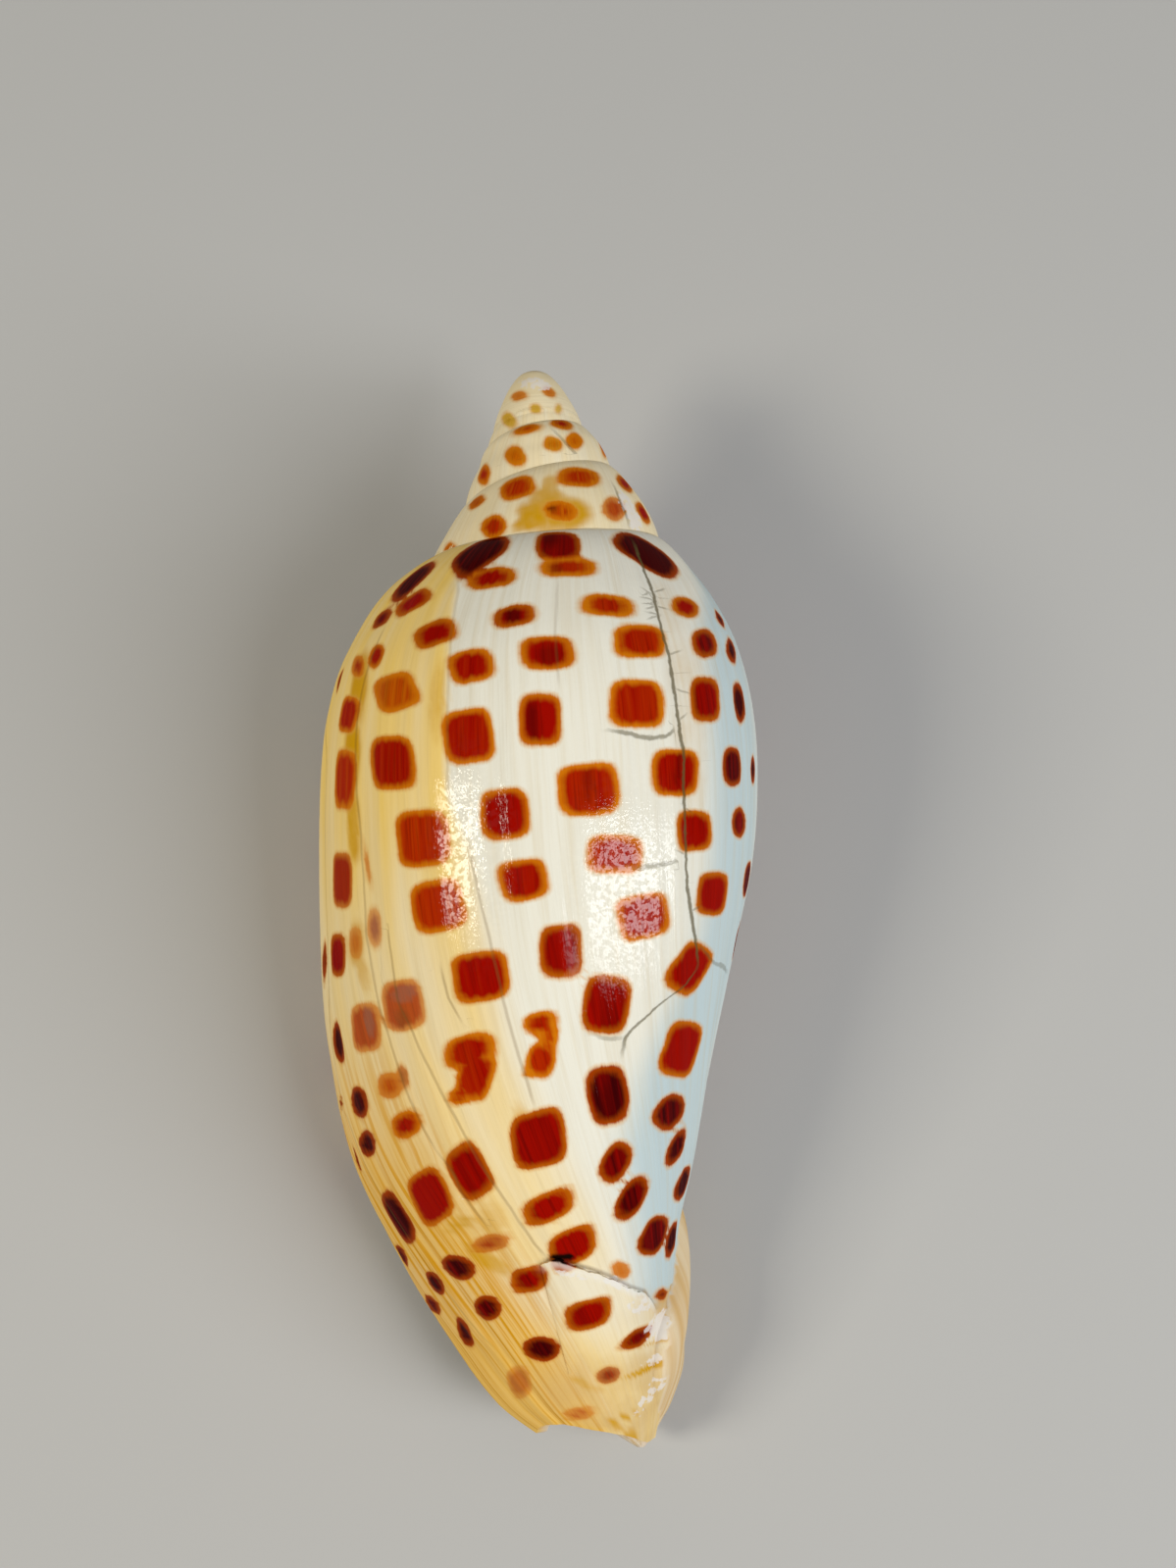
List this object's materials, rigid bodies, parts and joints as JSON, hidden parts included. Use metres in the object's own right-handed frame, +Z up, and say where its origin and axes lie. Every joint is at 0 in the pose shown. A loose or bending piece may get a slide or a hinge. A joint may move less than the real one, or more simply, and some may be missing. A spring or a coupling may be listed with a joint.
{
  "type": "junonia shell",
  "caption": "Dextral spindle-shaped sea snail shell with rows of dark squarish spots, a long narrow aperture, a folded columella and a healed ledge near its front end.",
  "frame": {"origin": "middle of the shell's box in plan, on the surface that it lies on", "axes": "+Y towards the apex along the shell's length, +Z up through its back, +X to its right side as seen from above, with the outer lip on the -X side"},
  "size_m": [0.0254, 0.0614, 0.0217],
  "materials": {
    "shell": "glossy cream shell with rounded square red-brown spots in spiral rows"
  },
  "bodies": {
    "root": {"shell": "shell"}
  },
  "joints": []
}
